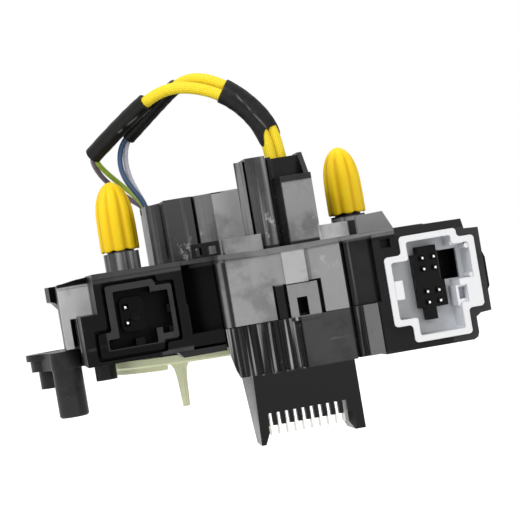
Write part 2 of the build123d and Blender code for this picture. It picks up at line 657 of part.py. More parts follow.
def flat_cable():
    """The ribbon on edge, wound from the hub out to the drum."""
    edges, step = [], CABLE_PITCH / 2
    for shift, order in ((CABLE_T / 2, 1), (-CABLE_T / 2, -1)):
        for k in range(2 * CABLE_TURNS)[::order]:
            r, centre, up = CABLE_IN_R + k * step + shift, (k % 2) * step, 1 - 2 * (k % 2)
            start, end = (centre + up * r, 0), (centre - up * r, 0)
            edges.append(ThreePointArc(start, (centre, up * r), end))
    last_r = CABLE_IN_R + CABLE_TURNS * CABLE_PITCH
    edges.append(Line((last_r - CABLE_T / 2, 0), (last_r + CABLE_T / 2, 0)))
    edges.append(Line((CABLE_IN_R - CABLE_T / 2, 0), (CABLE_IN_R + CABLE_T / 2, 0)))
    ribbon = make_face(edges)
    return extrude(Plane.XY.offset(CABLE_Z[0]) * ribbon, amount=CABLE_Z[1] - CABLE_Z[0])


def outer_terminal_block():
    """The fixed block on the drum wall that clamps the ribbon's outer end."""
    return band(43.6, DRUM_IN_R, -1, 9, *CABLE_Z)


def inner_terminal_block():
    """The block on the hub that clamps the ribbon's inner end and passes up under the disc."""
    return band(HUB_R, CABLE_IN_R - CABLE_T / 2 - 0.1, -4, 8, CABLE_Z[0], DISC_UNDER)


# Looped lead: two leads from the tower, taped, then sleeved, then thin wires to the hub

FRONT_LEAD = [
    (8.5, -25.2, 33.5), (8.5, -25.2, 41.5), (7.35, -25.0, 49.7), (2.2, -24.2, 57.05),
    (-5.1, -23.4, 61.6), (-15.0, -21.3, 63.3), (-24.2, -13.8, 57.5), (-33.6, -4.0, 51.0),
]
REAR_LEAD = [
    (11.1, -23.8, 33.5), (11.1, -23.8, 41.5), (9.8, -23.5, 50.95), (3.8, -22.2, 59.2),
    (-3.55, -20.8, 64.4), (-10.5, -18.1, 64.8), (-17.8, -12.5, 58.8), (-23.85, -6.6, 54.15),
]
GREEN_WIRE = [
    (-32.85, -4.24, 50.7), (-34.15, -2.37, 49.45), (-33.9, -0.1, 47.8), (-30.6, 2.0, 45.6),
    (-27.0, 2.6, 43.2), (-24.0, 1.6, 39.8), (-21.9, -0.6, 36.0), (-21.9, -0.6, 31.5),
]
VIOLET_WIRE = [
    (-33.71, -4.4, 51.74), (-35.5, -2.0, 50.3), (-35.4, 0.5, 48.2), (-32.4, 3.4, 45.2),
    (-28.6, 4.3, 42.2), (-24.8, 3.4, 38.8), (-21.9, 0.9, 35.8), (-21.9, 0.9, 31.5),
]
BLUE_WIRE = [
    (-23.85, -7.4, 54.41), (-25.3, -6.4, 52.9), (-26.5, -5.8, 50.6), (-27.0, -5.3, 47.2),
    (-26.3, -4.95, 43.6), (-24.3, -4.7, 40.2), (-21.9, -4.4, 36.0), (-21.9, -4.4, 31.5),
]
WHITE_WIRE = [
    (-23.1, -6.27, 54.41), (-24.2, -5.2, 52.9), (-25.1, -4.5, 50.4), (-25.4, -3.9, 47.2),
    (-24.9, -3.5, 43.6), (-23.6, -3.2, 40.0), (-21.9, -2.9, 35.9), (-21.9, -2.9, 31.5),
]


def corner_radii(points):
    """The arc at each inner point: as large as its two runs allow."""
    radii = []
    for a, b, c in zip(points, points[1:], points[2:]):
        back, on = Vector(*b) - Vector(*a), Vector(*c) - Vector(*b)
        turn = math.radians(back.get_angle(on))
        radii.append(0.45 * min(back.length, on.length) / math.tan(turn / 2))
    return radii


def route(points):
    """The line of a cord: straight runs joined by tangent arcs."""
    return FilletPolyline(*points, radius=corner_radii(points))


def tube(path, diameter):
    """A round cord along a path."""
    start = Plane(path @ 0, z_dir=path % 0)
    return sweep(start * Circle(diameter / 2), path=path)


def stretch(points, start, end):
    """The part of a route between two lengths from its first point."""
    path = route(points)
    return Wire(path.trim(start / path.length, end / path.length).edges())


def sleeve(points, diameter, length):
    """A tube round the end of a lead, with that lead's room left in it."""
    whole = route(points)
    return tube(stretch(points, whole.length - length, whole.length), diameter) - tube(whole, LEAD_D)


def tape_wrap():
    """The wrap round both leads where they leave the tower, pinched between them."""
    over = tube(stretch(FRONT_LEAD, *FRONT_TAPE), LEAD_D + 2 * TAPE_T)
    over += tube(stretch(REAR_LEAD, *REAR_TAPE), LEAD_D + 2 * TAPE_T)
    return over - tube(route(FRONT_LEAD), LEAD_D) - tube(route(REAR_LEAD), LEAD_D)


CORDS = {
    "front_lead": (FRONT_LEAD, LEAD_D),
    "rear_lead": (REAR_LEAD, LEAD_D),
    "green_wire": (GREEN_WIRE, WIRE_D),
    "violet_wire": (VIOLET_WIRE, WIRE_D),
    "blue_wire": (BLUE_WIRE, WIRE_D),
    "white_wire": (WHITE_WIRE, WIRE_D),
}

PIECES = {
    "upper_case": upper_case,
    "bottom_cover": bottom_cover,
    "comb_housing": comb_housing,
    "comb_terminals": comb_terminals,
    "switch_plug_shell": switch_plug_shell,
    "switch_plug_pins": switch_plug_pins,
    "sensor_plug_shell": sensor_plug_shell,
    "sensor_plug_header": sensor_plug_header,
    "sensor_plug_pins": sensor_plug_pins,
    "rotor_hub": rotor_hub,
    "pin_cap_left": lambda: pin_place(-1) * pin_cap(),
    "pin_cap_right": lambda: pin_place(1) * pin_cap(),
    "cancel_ring": cancel_ring,
    "drive_gear": drive_gear,
    "large_magnet_gear": lambda: magnet_gear(LARGE_TEETH, LARGE_AT),
    "small_magnet_gear": lambda: magnet_gear(SMALL_TEETH, SMALL_AT),
    "large_magnet": lambda: magnet(LARGE_TEETH, LARGE_AT),
    "small_magnet": lambda: magnet(SMALL_TEETH, SMALL_AT),
    "divider_plate": divider_plate,
    "sensor_board": sensor_board,
    "angle_chips": angle_chips,
    "lower_slip_sheet": lambda: ring(45, 22.4, DIVIDER_Z[1], DIVIDER_Z[1] + 0.25),
    "upper_slip_sheet": lambda: ring(45, 31, LEDGE_UNDER - 0.25, LEDGE_UNDER),
    "flat_cable": flat_cable,
    "outer_terminal_block": outer_terminal_block,
    "inner_terminal_block": inner_terminal_block,
    "front_sleeve": lambda: sleeve(FRONT_LEAD, *FRONT_SLEEVE),
    "rear_sleeve": lambda: sleeve(REAR_LEAD, *REAR_SLEEVE),
    "lead_tape": tape_wrap,
}
for cord, (points, diameter) in CORDS.items():
    print(cord, "radii", [round(r, 1) for r in corner_radii(points)])
    PIECES[cord] = lambda points=points, diameter=diameter: tube(route(points), diameter)

os.makedirs("parts", exist_ok=True)
for name, make in PIECES.items():
    made = make()
    solids = made if isinstance(made, list) else made.solids()
    shape = solids[0] if len(solids) == 1 else Compound(children=list(solids))
    export_step(shape, f"parts/{name}.step")
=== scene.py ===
import math

import bpy
import bmesh
from mathutils import Matrix, Vector


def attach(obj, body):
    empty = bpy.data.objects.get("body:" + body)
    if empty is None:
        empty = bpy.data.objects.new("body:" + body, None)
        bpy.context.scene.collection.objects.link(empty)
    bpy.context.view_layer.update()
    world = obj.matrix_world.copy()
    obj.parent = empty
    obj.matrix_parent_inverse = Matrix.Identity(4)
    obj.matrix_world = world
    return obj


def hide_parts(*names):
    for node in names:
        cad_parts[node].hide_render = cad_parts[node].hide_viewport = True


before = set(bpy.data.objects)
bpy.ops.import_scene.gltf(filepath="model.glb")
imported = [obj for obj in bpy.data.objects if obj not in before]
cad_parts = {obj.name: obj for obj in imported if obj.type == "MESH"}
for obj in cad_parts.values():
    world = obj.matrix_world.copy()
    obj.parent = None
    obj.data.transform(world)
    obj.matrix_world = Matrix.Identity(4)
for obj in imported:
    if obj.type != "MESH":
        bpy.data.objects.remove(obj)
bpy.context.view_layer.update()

MM = 0.001


# UPPER CASE
# One black moulding: drum wall, top plate and socket frames, with its sharp edges dulled by
# handling and painted paler, partly as wear and partly as painted highlights. Some faces look
# dull grey in the photograph, and each of those has a tone of its own here, partly the
# moulding's own and partly painted light and shade.

class Reading:
    """A number that changes over a surface, with the arithmetic that the finishes use."""

    def __init__(self, finish, socket):
        self.finish = finish
        self.socket = socket

    def maths(self, operation, *others, clamp=False):
        settings = {"operation": operation, "use_clamp": clamp}
        values = {0: self}
        for i, other in enumerate(others):
            values[i + 1] = other
        return self.finish.reading("ShaderNodeMath", settings, values)

    def __add__(self, other):
        return self.maths("ADD", other)

    def __sub__(self, other):
        return self.maths("SUBTRACT", other)

    def __mul__(self, other):
        return self.maths("MULTIPLY", other)

    def __rsub__(self, other):
        return self.maths("MULTIPLY_ADD", -1.0, other)

    __radd__ = __add__
    __rmul__ = __mul__


class Graph:
    """A node tree, with one way to add any node to it."""

    def __init__(self, tree):
        self.tree = tree

    def node(self, kind, settings=None, sockets=None):
        made = self.tree.nodes.new(kind)
        for name, value in (settings or {}).items():
            setattr(made, name, value)
        for socket, value in (sockets or {}).items():
            if isinstance(value, Reading):
                value = value.socket
            if isinstance(value, bpy.types.NodeSocket):
                self.tree.links.new(value, made.inputs[socket])
            else:
                made.inputs[socket].default_value = value
        return made

    def reading(self, kind, settings=None, sockets=None, output=0):
        return Reading(self, self.node(kind, settings, sockets).outputs[output])

    def rays_shown(self):
        """Three readings: 1 for the camera's own rays, for glossy and for transmitted ones."""
        path = self.node("ShaderNodeLightPath").outputs
        kinds = ("Is Camera Ray", "Is Glossy Ray", "Is Transmission Ray")
        return [Reading(self, path[kind]) for kind in kinds]


class Finish(Graph):
    """One material: fixed numbers sit on its shader, and what varies is linked to it."""

    def __init__(self, name, **fixed):
        self.material = bpy.data.materials.new(name)
        self.material.use_nodes = True
        super().__init__(self.material.node_tree)
        self.shader = self.tree.nodes["Principled BSDF"]
        for socket, value in fixed.items():
            self.shader.inputs[socket.replace("_", " ")].default_value = value
        self.place = self.node("ShaderNodeTexCoord").outputs["Object"]

    def axis(self, letter):
        """The place along one axis of the part, in metres."""
        split = self.node("ShaderNodeSeparateXYZ", None, {0: self.place})
        return Reading(self, split.outputs[letter])

    def cloud(self, size, detail=2.0, stretch=(1, 1, 1), rough=0.5):
        """Soft noise of 0 to 1 whose blots are about size metres across."""
        scaled = self.node("ShaderNodeMapping", None, {0: self.place, "Scale": stretch})
        sockets = {"Vector": scaled.outputs[0], "Scale": 1 / size, "Detail": detail, "Roughness": rough}
        return self.reading("ShaderNodeTexNoise", None, sockets)

    def step(self, value, low, high):
        """0 below low and 1 above high, with a smooth rise between. low may be the larger."""
        sockets = {"Value": value, "From Min": low, "From Max": high}
        return self.reading("ShaderNodeMapRange", {"interpolation_type": "SMOOTHSTEP"}, sockets)

    def zone(self, low, high, soft=0.25):
        """1 inside a box given in millimetres, 0 outside. None leaves a side open."""
        mask = None
        for letter, a, b in zip("XYZ", low, high):
            for limit, sign in ((a, 1), (b, -1)):
                if limit is None:
                    continue
                outer, inner = (limit - sign * soft) * MM, (limit + sign * soft) * MM
                edge = self.step(self.axis(letter), outer, inner)
                mask = edge if mask is None else mask * edge
        return mask

    def edges(self, radius):
        """1 on the part's edges within a radius, 0 on its flats."""
        flat = self.node("ShaderNodeNewGeometry").outputs["Normal"]
        sides = {0: self.rounded(radius), 1: flat}
        turn = self.reading("ShaderNodeVectorMath", {"operation": "DOT_PRODUCT"}, sides, "Value")
        return self.step(turn, 0.995, 0.86)

    def rounded(self, radius):
        """The surface's direction with its edges softened to a radius."""
        return self.node("ShaderNodeBevel", {"samples": 4}, {"Radius": radius}).outputs[0]

    def blend(self, share, first, second):
        """A colour between two others."""
        sockets = {0: share, 6: first, 7: second}
        mixed = self.node("ShaderNodeMix", {"data_type": "RGBA"}, sockets)
        return mixed.outputs[2]

    def relief(self, height, depth, base=None):
        """Linked bumps of a depth in metres."""
        sockets = {"Height": height, "Strength": 1.0, "Distance": depth}
        if base is not None:
            sockets["Normal"] = base
        return self.node("ShaderNodeBump", None, sockets).outputs[0]

    def colour(self, value):
        self.tree.links.new(value, self.shader.inputs["Base Color"])

    def roughness(self, value):
        self.tree.links.new(value.socket, self.shader.inputs["Roughness"])

    def normal(self, value):
        self.tree.links.new(value, self.shader.inputs["Normal"])


MOTTLE_SIZE, STAIN_SIZE, GRAIN_SIZE = 0.006, 0.009, 0.00035
GRAIN_DEPTH = 0.000012
EDGE_R, PALE_EDGE_R = 0.00022, 0.0002
RUB_SHARE, RUB_SOFT = 0.28, 0.8
SCRATCH_SHARE = 0.06
BLACK_TINT = (1.0, 0.985, 1.0, 1)


def black_plastic(name, tone, zones=(), gloss=0.34, wear_and_edge_sheen=0.5, painted_streaks=(), rubs=(), shine=0.1):
    """Satin black moulding. Each zone is a box that sets the tone of the face in it, partly its own
    tone and partly painted light and shade; each streak one with painted upright highlights, as
    on a polished rib; and each rub one with pale scratches. Its edges are painted paler, partly
    as wear and partly as painted highlights."""
    finish = Finish(name, Specular_IOR_Level=shine)
    mottle = finish.cloud(MOTTLE_SIZE, 4.0, rough=0.62)
    stain = finish.step(finish.cloud(STAIN_SIZE, 5.0, rough=0.6), 0.36, 0.52)
    grey = mottle * (tone * 0.5) + tone * 0.75
    # Each zone's tone is partly the face's own and partly painted light and shade.
    for low, high, target in zones:
        face = mottle * (target * 0.3) + stain * (target * 0.35) + target * 0.56
        grey = grey + finish.zone(low, high) * (face - grey)
    # Edges are painted paler, partly as wear and partly as painted highlights.
    wear_and_sheen = finish.edges(PALE_EDGE_R)
    rubbed = finish.step(finish.cloud(0.004, 3.0), 0.38, 0.62)
    grey = grey + wear_and_sheen * (rubbed * 0.06 + 0.02) * wear_and_edge_sheen
    hair = finish.step(finish.cloud(0.0016, 2.0, stretch=(0.12, 1.0, 1.0)), 0.69, 0.74)
    patch = finish.step(finish.cloud(0.012, 2.0), 0.5, 0.62)
    grey = grey + hair * patch * (SCRATCH_SHARE * wear_and_edge_sheen)
    # Each streak paints upright highlights into the colour.
    for low, high, size, strength in painted_streaks:
        line = finish.step(finish.cloud(size, 2.0, stretch=(1.0, 1.0, 0.03)), 0.5, 0.68)
        grey = grey + finish.zone(low, high) * line * strength
    for low, high in rubs:
        torn = finish.cloud(0.0022, 5.0, stretch=(1.0, 1.0, 0.7), rough=0.75)
        wisp = finish.step(torn, 0.57, 0.64)
        grey = grey + finish.zone(low, high, RUB_SOFT) * wisp * (RUB_SHARE * wear_and_edge_sheen)
    finish.colour(finish.blend(grey, (0, 0, 0, 1), BLACK_TINT))
    finish.roughness(mottle * 0.22 + gloss - 0.11)
    grain = finish.cloud(GRAIN_SIZE, 2.0)
    finish.normal(finish.relief(grain, GRAIN_DEPTH, finish.rounded(EDGE_R)))
    return finish.material


def dress(node, material):
    """Gives a node of the frame its finish."""
    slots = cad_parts[node].data.materials
    slots.clear()
    slots.append(material)


# Low corner, high corner and tone of each face, chosen to match how grey or dark it looks in
# the photograph, so each tone is partly the moulding's own and partly painted light and shade.
# Streaks, painted upright highlights, add their size and strength.
CASE_ZONES = [
    # The left drum panel, painted paler as lit.
    ((-60, -28.5, 3), (-41.2, -25, 19.2), 0.47),
    # The centre block's rounded left corner, dark, with a painted highlight line along it.
    ((-13, -54, 3.4), (-10.5, -50.2, 19.9), 0.025),
    ((-12.4, -54, 3.4), (-11.5, -50.2, 19.9), 0.17),
    ((-10.5, -54, 3.4), (16.6, -50.2, 19.9), 0.235),
    ((-0.6, -51.9, 3.4), (10.95, -44, 11.3), 0.008),
    ((2.5, -54, 11.3), (8.1, -52.2, 19.9), 0.35),
    ((8.1, -54, 11.3), (9.0, -51.8, 19.9), 0.15),
    ((17.9, -49, 3), (24.0, -45, 18.8), 0.017),
    # The deep pocket left of the centre block, painted near black as shade.
    ((-23.0, -50.2, 3), (-12.8, -40, 19.9), 0.002),
    ((24.0, -54, -9), (40.0, -48, 17.9), 0.009),
    ((40.0, -54, -9), (52.0, -48, 17.9), 0.03),
    ((-60, -54, 18.7), (-12, -44, 22), 0.045),
    ((-12, -54, 18.7), (30.2, -44, 22), 0.15),
    ((30.2, -54, 17.9), (52, -44, 22), 0.015),
    ((-28, -51, 0.0), (-20.5, -48, 1.0), 0.04),
    ((-20.5, -51, 0.0), (-12.8, -48, 3.6), 0.002),
    ((24.3, -36.6, 19.6), (33.4, -33.5, 25.0), 0.23),
]
CASE_PAINTED_STREAKS = [
    ((17.0, -52, 3), (19.4, -44, 18.8), 0.0012, 0.12),
    ((-0.6, -51.9, 3.4), (2.4, -44, 11.3), 0.001, 0.12),
]
CASE_RUBS = [
    ((9.5, -54, 13), (15.5, -51.8, 19)),
]
case_black = black_plastic(
    "case black", 0.003, CASE_ZONES, wear_and_edge_sheen=0.35, painted_streaks=CASE_PAINTED_STREAKS, rubs=CASE_RUBS, shine=0.07,
)
dress("upper_case", case_black)


# BOTTOM COVER AND COMB HOUSING
# Two more black mouldings under the first: the cover with its screw ears and dowel, and the
# front block, whose reeds carry painted streaks of highlight while its plain panel is dull.

COVER_ZONES = [
    ((-60, -20, -14), (-44, -8, 4.5), 0.026),
]
dress("bottom_cover", black_plastic("cover black", 0.016, COVER_ZONES))

COMB_ZONES = [
    ((4.9, -54, -8.4), (16.4, -51.8, 3.5), 0.04),
    ((2.1, -54, 3.5), (9.95, -51.8, 11.2), 0.2),
    ((19.7, -51, -8.6), (23.8, -50.2, 3.7), 0.12),
    # The left leg's side face, painted paler as lit.
    ((-11, -51.5, -26), (-8.9, -38, -8.4), 0.06),
]
COMB_PAINTED_STREAKS = [
    ((-13, -54, -8.4), (4.8, -50, 3.5), 0.0012, 0.3),
    ((16.5, -52, -8.4), (19.6, -48, 3.5), 0.0009, 0.1),
]
COMB_RUBS = [
    ((7.5, -54, 4), (10.2, -51.8, 11)),
    ((-4.0, -54, -8.0), (4.0, -51, -5.0)),
]
comb_black = black_plastic(
    "comb black", 0.007, COMB_ZONES, 0.3, painted_streaks=COMB_PAINTED_STREAKS, rubs=COMB_RUBS,
)
dress("comb_housing", comb_black)


# PLUG TERMINALS
# Stamped square pins, tinned, with a bright matt skin. Their left sides are painted darker as
# shade, and the comb's tips are coloured darker below its edge, because both look darker in
# the photograph.

tin = Finish("tinned pin", Metallic=1.0)
drawn = tin.cloud(0.0007, 2.0, stretch=(1, 1, 0.15))
skin = tin.node("ShaderNodeNewGeometry").outputs["Normal"]
facing = tin.reading("ShaderNodeSeparateXYZ", None, {0: skin}, "X")
# The pins' left sides, painted darker as shade.
shaded_left_side = tin.step(facing, -0.3, -0.7)
bright = tin.blend(drawn, (0.6, 0.59, 0.57, 1), (0.8, 0.79, 0.77, 1))
COMB_EDGE_Z, TIP_FADE = -0.0200, 0.0006
tips = tin.step(tin.axis("Z"), COMB_EDGE_Z, COMB_EDGE_Z - TIP_FADE)
faces = tin.blend(shaded_left_side, bright, (0.2, 0.2, 0.19, 1))
tin.colour(tin.blend(tips, faces, (0.38, 0.38, 0.35, 1)))
tin.roughness(drawn * 0.2 + 0.2)
for node in ("comb_terminals", "switch_plug_pins", "sensor_plug_pins"):
    dress(node, tin.material)


# PLUG INSERTS
# A black insert clipped into the left frame and a white one into the right, both unpainted
# plastic. The header in the white one is black, and a strip of the floor beside it is painted
# black too as shade, where the photograph shows no white. Inside the white socket the walls
# are painted darker as shade on the left and paler on the right.

INSERT_ZONES = [
    ((-40, -54, 3), (-22, -50.0, 20), 0.03),
]
insert_black = black_plastic(
    "insert black", 0.002, INSERT_ZONES, gloss=0.42, wear_and_edge_sheen=0.3, shine=0.06,
)
dress("switch_plug_shell", insert_black)
header_black = black_plastic("header black", 0.004, gloss=0.45, wear_and_edge_sheen=0.2, shine=0.08)
dress("sensor_plug_header", header_black)

white = Finish("insert white", Specular_IOR_Level=0.4)
RIM_Y, INNER_Y = -0.0502, -0.0485
depth = white.step(white.axis("Y"), RIM_Y, INNER_Y)
fleck = white.cloud(0.0018, 4.0, rough=0.7)
rim = white.blend(fleck, (0.65, 0.655, 0.665, 1), (0.7, 0.7, 0.71, 1))
# Inside the socket the walls are painted darker as shade on the left and paler on the right.
near = white.blend(fleck, (0.46, 0.47, 0.48, 1), (0.55, 0.555, 0.565, 1))
far = white.blend(fleck, (0.68, 0.7, 0.74, 1), (0.76, 0.775, 0.81, 1))
inner = white.blend(white.step(white.axis("X"), 0.035, 0.044), near, far)
white_and_painted_shade = white.blend(depth, rim, inner)
# A strip of the floor beside the header, painted black as shade.
painted_shade_strip = white.zone((40.3, -45, 5.9), (41.8, -30, 13.3))
white.colour(white.blend(painted_shade_strip, white_and_painted_shade, (0.02, 0.02, 0.021, 1)))
white.roughness(fleck * 0.15 + 0.38)
white.normal(white.relief(white.cloud(0.0004, 2.0), 0.00001, white.rounded(0.0003)))
dress("sensor_plug_shell", white.material)


# SENSOR AND CABLE, INSIDE THE DRUM
# The circuit board with its chips, the plate over it, two slip sheets, the flat cable and
# the blocks that clamp the cable's ends. None of it shows when the case is shut.

board = Finish("board green", Specular_IOR_Level=0.5)
board.colour(board.blend(board.cloud(0.003), (0.012, 0.09, 0.035, 1), (0.02, 0.13, 0.05, 1)))
board.roughness(board.cloud(0.002) * 0.2 + 0.25)
dress("sensor_board", board.material)

film = Finish("slip film", Specular_IOR_Level=0.4)
film.colour(film.blend(film.cloud(0.01), (0.72, 0.72, 0.68, 1), (0.8, 0.8, 0.77, 1)))
film.roughness(film.cloud(0.004) * 0.2 + 0.3)
dress("lower_slip_sheet", film.material)
dress("upper_slip_sheet", film.material)

CONDUCTOR_PITCH = 0.001611
ribbon = Finish("cable film", Specular_IOR_Level=0.5)
lane_turn = ribbon.axis("Z") * (math.tau / CONDUCTOR_PITCH)
lanes = ribbon.step(lane_turn.maths("SINE"), -0.2, 0.2)
ribbon.colour(ribbon.blend(lanes, (0.62, 0.36, 0.18, 1), (0.74, 0.66, 0.48, 1)))
ribbon.roughness(ribbon.cloud(0.003) * 0.15 + 0.2)
dress("flat_cable", ribbon.material)

inner_black = black_plastic("inner black", 0.03, gloss=0.4, wear_and_edge_sheen=0.2)
for node in ("angle_chips", "divider_plate", "outer_terminal_block", "inner_terminal_block"):
    dress(node, inner_black)


# GEARS, MAGNETS AND CANCEL RING
# Unfilled nylon in its own milky colour, faintly green and a little see-through at thin
# edges. The magnets pressed into the gears are plated.

nylon = Finish(
    "natural nylon", Subsurface_Weight=0.25, Subsurface_Scale=0.002, Specular_IOR_Level=0.4,
)
milk = nylon.cloud(0.009, 3.0)
nylon.colour(nylon.blend(milk, (0.62, 0.67, 0.4, 1), (0.76, 0.8, 0.56, 1)))
nylon.roughness(milk * 0.15 + 0.36)
nylon.normal(nylon.rounded(0.0003))
for node in ("cancel_ring", "drive_gear", "large_magnet_gear", "small_magnet_gear"):
    dress(node, nylon.material)

plated = Finish("magnet plating", Metallic=1.0)
plated.colour(plated.blend(plated.cloud(0.001), (0.4, 0.4, 0.42, 1), (0.5, 0.5, 0.52, 1)))
plated.roughness(plated.cloud(0.0006) * 0.2 + 0.25)
dress("large_magnet", plated.material)
dress("small_magnet", plated.material)


# ROTOR
# Hub, disc, lead tower and drive pins in one black moulding. Its upright faces are drawn
# smooth by the mould and carry painted upright highlights, and pale scuffs near the disc.

# Tone of each face, partly the moulding's own and partly painted light and shade: the hub's front faces
# and the disc's rim right of the tower are painted paler, as lit.
ROTOR_ZONES = [
    ((-7.5, -23, 21), (0.2, -20.5, 36.4), 0.4),
    ((-12.2, -24, 21), (-7.5, -18, 36.4), 0.17),
    ((-24, -22, 21), (-12.2, 4, 36.4), 0.055),
    ((-3.1, -36, 21), (-0.35, -30, 42.0), 0.05),
    ((-0.35, -36, 21), (5.4, -34.0, 42.6), 0.06),
    ((8.15, -36, 21), (15.7, -34.6, 35.45), 0.25),
    ((8.15, -36, 35.45), (15.7, -34.6, 37.2), 0.018),
    ((5.4, -36, 21), (8.15, -31, 36.0), 0.02),
    ((8.15, -33.7, 36.9), (14.35, -27.5, 42.5), 0.002),
    ((-9.0, -38, 20), (1.2, -35, 24.3), 0.32),
    ((15.3, -38, 20), (24.3, -29, 24.3), 0.6),
    ((-35.2, -9.6, 20.4), (-25.7, 0, 25.9), 0.1),
    ((24.3, -8, 20.4), (36, 12, 25.2), 0.35),
]
# Painted upright highlights on the hub, the tower's front and the left drive pin's base.
ROTOR_PAINTED_STREAKS = [
    ((-26, -22, 21), (-7.6, 6, 36.4), 0.0022, 0.1),
    ((-2.6, -36, 21), (8.1, -30, 42.6), 0.0014, 0.16),
    ((-37, -13, 19), (-24, 2, 25.9), 0.002, 0.25),
]
ROTOR_RUBS = [
    ((-0.5, -36.5, 22.5), (8.0, -33, 28.5)),
    ((11.0, -36.5, 22.5), (15.7, -34, 26.5)),
    ((16, -38, 21), (24.3, -30, 24.3)),
    ((-20, -24, 20), (-11, -16, 27)),
]
rotor_black = black_plastic(
    "rotor black", 0.012, ROTOR_ZONES, 0.3, 0.9, ROTOR_PAINTED_STREAKS, ROTOR_RUBS,
)
dress("rotor_hub", rotor_black)


# DRIVE PIN CAPS
# A soft yellow rubber boot over each drive pin: eight rounded flutes that run out at a blunt
# tip, and an edge that waves with them at the foot. It is stretched over the pin and stays.

LEFT_PIN = (-30.42, -4.82)
RIGHT_PIN = (30.42, 4.82)
CAP_FOOT = 25.9
CAP_R = 4.95
CAP_TURN = math.radians(-5)
HEM = 0.8
MOUTH_WALL, MOUTH_DEPTH = 1.1, 1.7
# Height and share of the radius, ring by ring up to the tip.
CAP_RINGS = [
    (27.2, 1.0), (32.0, 1.0), (36.2, 0.97), (38.4, 0.89),
    (40.4, 0.76), (42.0, 0.57), (43.1, 0.33), (43.6, 0.1),
]
FLUTES = 8
VALLEY_TURN = math.radians(-27.5)
ON_VALLEY = 0.02
# How far the grooves are drawn in, on the side and round the tip, and where each begins.
GROOVE_SHARE, TIP_GROOVE_SHARE = 0.84, 0.91
SIDE_R, TIP_R, TIP_FROM = 4.3, 1.5, 39
FOOT_WAVE = 0.6
# The height at which the grooves' painted shade has gone, and the height that it takes.
GROOVE_END, GROOVE_FADE = 43.0, 3.0

rubber = Finish(
    "cap yellow", Subsurface_Weight=0.04, Subsurface_Scale=0.001, Specular_IOR_Level=0.22,
)
dust = rubber.cloud(0.0035, 4.0, rough=0.6)
# The grooves are painted darker as shade, from an attribute set on the cap's points.
groove_shade = rubber.reading("ShaderNodeAttribute", {"attribute_name": "groove_shade"}, output="Fac")
ridge = rubber.blend(dust, (0.97, 0.62, 0.006, 1), (1.0, 0.71, 0.012, 1))
yellow_and_groove_shade = rubber.blend(groove_shade * 0.75, ridge, (0.66, 0.36, 0.001, 1))
soot = rubber.step(rubber.cloud(0.0011, 2.0), 0.68, 0.78)
rubber.colour(rubber.blend(soot * 0.25, yellow_and_groove_shade, (0.42, 0.24, 0.02, 1)))
rubber.roughness(dust * 0.2 + 0.42)
rubber.normal(rubber.relief(rubber.cloud(0.0005, 2.0), 0.000014))


def deselect_all():
    """Drops whatever is selected, also the frame's own nodes."""
    bpy.ops.object.select_all(action="DESELECT")


def named(name, material, body):
    """Gives the active new piece its name, material, body and the slot of its finish."""
    piece = bpy.context.active_object
    piece.name = name
    piece.data.name = name
    piece.data.materials.clear()
    piece.data.materials.append(material)
    bpy.ops.object.transform_apply(location=True, rotation=True, scale=True)
    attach(piece, body)


def pick(piece, wanted):
    """Selects, for the next step of the modelling, the points whose place is wanted."""
    bpy.ops.object.mode_set(mode="OBJECT")
    for part in (piece.data.polygons, piece.data.edges, piece.data.vertices):
        part.foreach_set("select", [False] * len(part))
    for point in piece.data.vertices:
        point.select = wanted(piece.matrix_world @ point.co / MM)
    bpy.ops.object.mode_set(mode="EDIT")
    bpy.ops.mesh.select_mode(type="VERT")


def off_valley(place, pin):
    """The turn in radians from a point of a cap to its nearest groove."""
    turn = math.atan2(place.y - pin[1], place.x - pin[0]) - VALLEY_TURN
    pitch = math.tau / FLUTES
    return abs((turn + pitch / 2) % pitch - pitch / 2)


def in_valley(place):
    """True where a point of the left cap lies along a groove."""
    return off_valley(place, LEFT_PIN) < ON_VALLEY


def reach(place, pin):
    """How far a point of a cap is from the middle of its pin."""
    return math.hypot(place.x - pin[0], place.y - pin[1])


x, y = LEFT_PIN
deselect_all()
bpy.ops.mesh.primitive_cylinder_add(
    vertices=4 * FLUTES, radius=CAP_R * MM, depth=HEM * MM,
    location=(x * MM, y * MM, (CAP_FOOT + HEM / 2) * MM), rotation=(0, 0, CAP_TURN),
)
cap = bpy.context.active_object
height, share = CAP_FOOT + HEM, 1.0
pick(cap, lambda p: p.z > CAP_FOOT + HEM / 2)
for ring_height, ring_share in CAP_RINGS:
    step = (ring_height - height) * MM
    bpy.ops.mesh.extrude_region_move(TRANSFORM_OT_translate={"value": (0, 0, step)})
    grow = ring_share / share
    middle = (x * MM, y * MM, ring_height * MM)
    bpy.ops.transform.resize(value=(grow, grow, 1), center_override=middle)
    height, share = ring_height, ring_share
pick(cap, lambda p: p.z < CAP_FOOT + HEM / 2)
bpy.ops.mesh.inset(thickness=MOUTH_WALL * MM)
bpy.ops.mesh.extrude_region_move(TRANSFORM_OT_translate={"value": (0, 0, MOUTH_DEPTH * MM)})
axis_point = (x * MM, y * MM, 0)
pick(cap, lambda p: in_valley(p) and reach(p, LEFT_PIN) > SIDE_R and p.z < TIP_FROM)
bpy.ops.transform.resize(value=(GROOVE_SHARE, GROOVE_SHARE, 1), center_override=axis_point)
pick(cap, lambda p: in_valley(p) and reach(p, LEFT_PIN) > TIP_R and p.z > TIP_FROM)
bpy.ops.transform.resize(value=(TIP_GROOVE_SHARE, TIP_GROOVE_SHARE, 1), center_override=axis_point)
pick(cap, lambda p: in_valley(p) and p.z < CAP_FOOT + HEM / 8)
bpy.ops.transform.translate(value=(0, 0, FOOT_WAVE * MM))
bpy.ops.mesh.select_all(action="SELECT")
bpy.ops.mesh.normals_make_consistent(inside=False)
bpy.ops.object.mode_set(mode="OBJECT")
